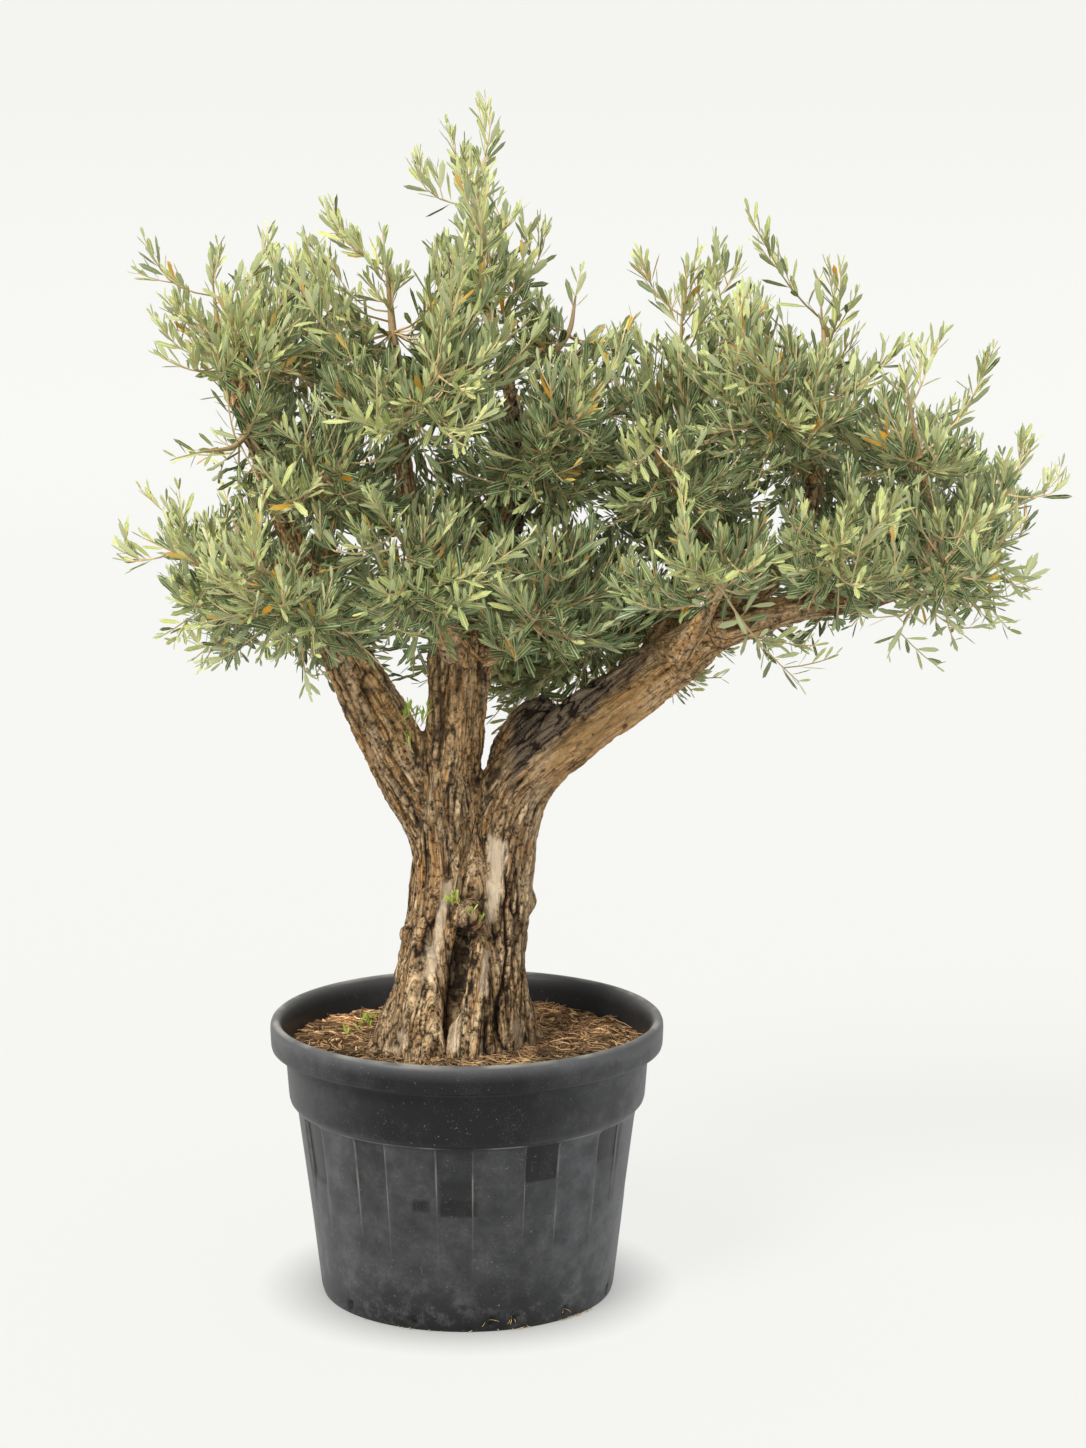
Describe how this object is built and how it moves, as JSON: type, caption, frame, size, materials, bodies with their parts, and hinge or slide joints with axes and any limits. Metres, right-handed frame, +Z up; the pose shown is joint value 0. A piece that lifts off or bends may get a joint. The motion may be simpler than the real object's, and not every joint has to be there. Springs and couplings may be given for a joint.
{
  "type": "potted olive tree",
  "caption": "Old olive tree with a thick split trunk, forked bare limbs and a wide leafy crown, rooted in mulch in a large round nursery pot.",
  "frame": {"origin": "centre of the pot's round underside, on the surface that it stands on", "axes": "+Z up along the pot's axis, the tree's front at -Y, the long leaning limb at +X"},
  "size_m": [1.5588, 0.8934, 1.9581],
  "materials": {
    "pot": "satin, dusty and lightly scuffed",
    "soil": "loose fibrous mulch of roots, bark and straw",
    "bark": "rough, fissured bark with smooth bare patches",
    "foliage": "satin grey-green leaves on tan twigs"
  },
  "bodies": {
    "root": {"pot": "pot", "soil": "soil", "trunk": "bark", "bough_centre_1": "foliage", "bough_centre_2": "foliage", "bough_centre_3": "foliage", "bough_centre_4": "foliage", "bough_centre_5": "foliage", "bough_centre_6": "foliage", "bough_centre_7": "foliage", "bough_centre_8": "foliage", "bough_centre_9": "foliage", "bough_centre_10": "foliage", "bough_centre_11": "foliage", "bough_left_1": "foliage", "bough_left_2": "foliage", "bough_left_3": "foliage", "bough_left_4": "foliage", "bough_left_5": "foliage", "bough_left_6": "foliage", "bough_left_7": "foliage", "bough_left_8": "foliage", "bough_right_1": "foliage", "bough_right_2": "foliage", "bough_right_3": "foliage", "bough_right_4": "foliage", "bough_right_5": "foliage", "bough_right_6": "foliage", "bough_right_7": "foliage", "bough_right_8": "foliage", "bough_right_9": "foliage", "bough_right_10": "foliage", "bough_right_11": "foliage", "bough_right_12": "foliage"}
  },
  "joints": []
}
